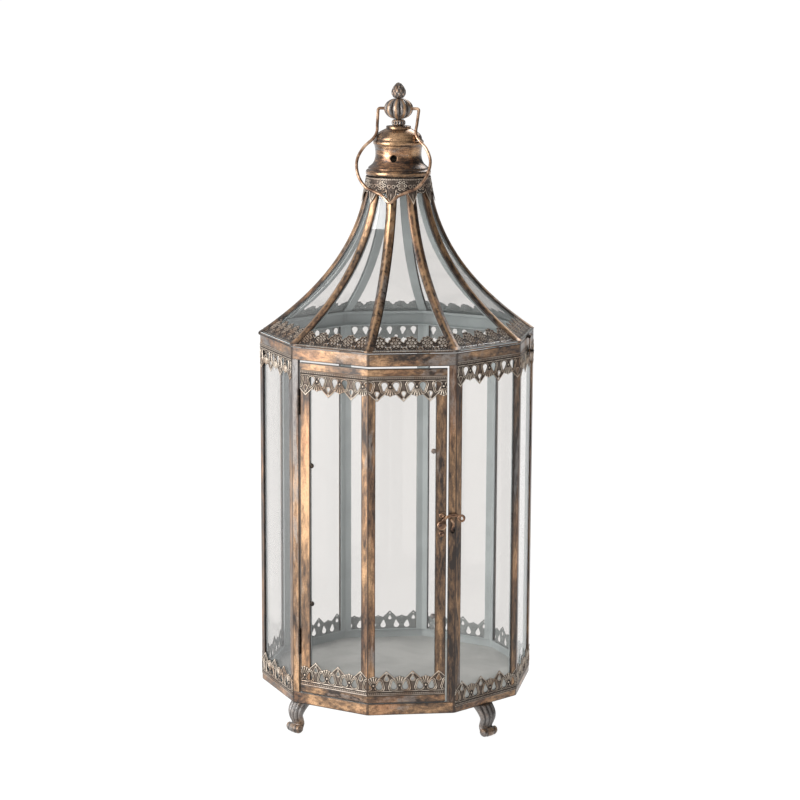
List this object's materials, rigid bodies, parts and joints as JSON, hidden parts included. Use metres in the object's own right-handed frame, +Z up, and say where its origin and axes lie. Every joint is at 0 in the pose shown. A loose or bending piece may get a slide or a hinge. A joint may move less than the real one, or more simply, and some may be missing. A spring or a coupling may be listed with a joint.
{
  "type": "glass cloche",
  "caption": "ten-sided glazed plant cloche in aged copper sheet, with a two-face front door on a hook latch, a lift-up flared roof lid, a vented cap, scroll feet and a wire bail",
  "frame": {"origin": "on the floor, at the centre of the ten-sided case", "axes": "+Z up, the front corner and the door toward -Y, the roof latch toward +X and the roof hinge toward -X"},
  "size_m": [0.3276, 0.331, 0.7615],
  "materials": {
    "aged_copper": "antiqued copper paint on folded steel, brown in the recesses and golden on worn edges",
    "spun_copper": "antiqued copper on spun steel",
    "pressed_trim": "pressed steel lace, antiqued dark with rubbed highlights",
    "cast_patina": "casting in antique copper with grey patina",
    "bail_wire": "copper-coloured drawn wire",
    "dark_iron": "blackened steel",
    "grey_paint": "matt blue-grey paint",
    "clear_glass": "clear float glass"
  },
  "bodies": {
    "case": {"base_rim": "aged_copper", "floor_plate": "grey_paint", "foot_front_left": "cast_patina", "foot_front_right": "cast_patina", "foot_rear_right": "cast_patina", "foot_rear_left": "cast_patina", "corner_bars": "aged_copper", "wall_pane_1": "clear_glass", "wall_pane_2": "clear_glass", "wall_pane_3": "clear_glass", "wall_pane_4": "clear_glass", "wall_pane_5": "clear_glass", "wall_pane_6": "clear_glass", "wall_pane_7": "clear_glass", "wall_pane_8": "clear_glass", "top_rim": "aged_copper", "lower_trim": "pressed_trim", "upper_trim": "pressed_trim", "door_hinge_fixed_leaves": "dark_iron", "door_hinge_pins": "dark_iron", "door_catch": "bail_wire", "door_catch_rivet": "dark_iron", "roof_hinge_fixed_leaf": "dark_iron", "roof_hinge_pin": "dark_iron", "roof_hasp_stud": "dark_iron"},
    "door": {"door_hinge_stile": "aged_copper", "door_latch_stile": "aged_copper", "door_middle_bar": "aged_copper", "door_bottom_rail": "aged_copper", "door_top_rail": "aged_copper", "door_pane_left": "clear_glass", "door_pane_right": "clear_glass", "door_lower_trim": "pressed_trim", "door_upper_trim": "pressed_trim", "door_hinge_moving_leaves": "dark_iron", "door_glass_clips": "dark_iron", "door_latch_plate": "aged_copper", "door_latch_stud": "aged_copper", "door_latch_rivets": "dark_iron"},
    "door_hook": {"door_hook": "bail_wire"},
    "roof": {"roof_rim": "aged_copper", "roof_ribs": "aged_copper", "roof_panes": "clear_glass", "roof_trim": "pressed_trim", "roof_collar": "aged_copper", "collar_trim": "pressed_trim", "roof_cap": "spun_copper", "neck_bead": "cast_patina", "finial_rod": "dark_iron", "finial_melon": "cast_patina", "finial_bud": "cast_patina", "roof_hasp_plate": "dark_iron", "roof_hasp_pin": "dark_iron", "roof_hinge_moving_leaf": "dark_iron"},
    "roof_hasp": {"roof_hasp": "aged_copper"},
    "bail": {"bail": "bail_wire"}
  },
  "joints": [
    {"name": "door_hinge", "type": "hinge", "parent": "case", "child": "door", "pos_m": [-0.08797, -0.13778, 0.258], "axis": [0, 0, -1], "range_deg": [0, 115]},
    {"name": "door_hook_pivot", "type": "hinge", "parent": "door", "child": "door_hook", "pos_m": [0.08215, -0.14157, 0.2643], "axis": [0.309, -0.9511, 0], "range_deg": [0, 110]},
    {"name": "roof_hinge", "type": "hinge", "parent": "case", "child": "roof", "pos_m": [-0.16012, 0, 0.4634], "axis": [0, -1, 0], "range_deg": [0, 105]},
    {"name": "roof_hasp_pivot", "type": "hinge", "parent": "roof", "child": "roof_hasp", "pos_m": [0.16032, 0, 0.4659], "axis": [0, -1, 0], "range_deg": [0, 120]},
    {"name": "bail_pivot", "type": "hinge", "parent": "roof", "child": "bail", "pos_m": [0, 0, 0.7308], "axis": [-1, 0, 0], "range_deg": [0, 310]}
  ]
}
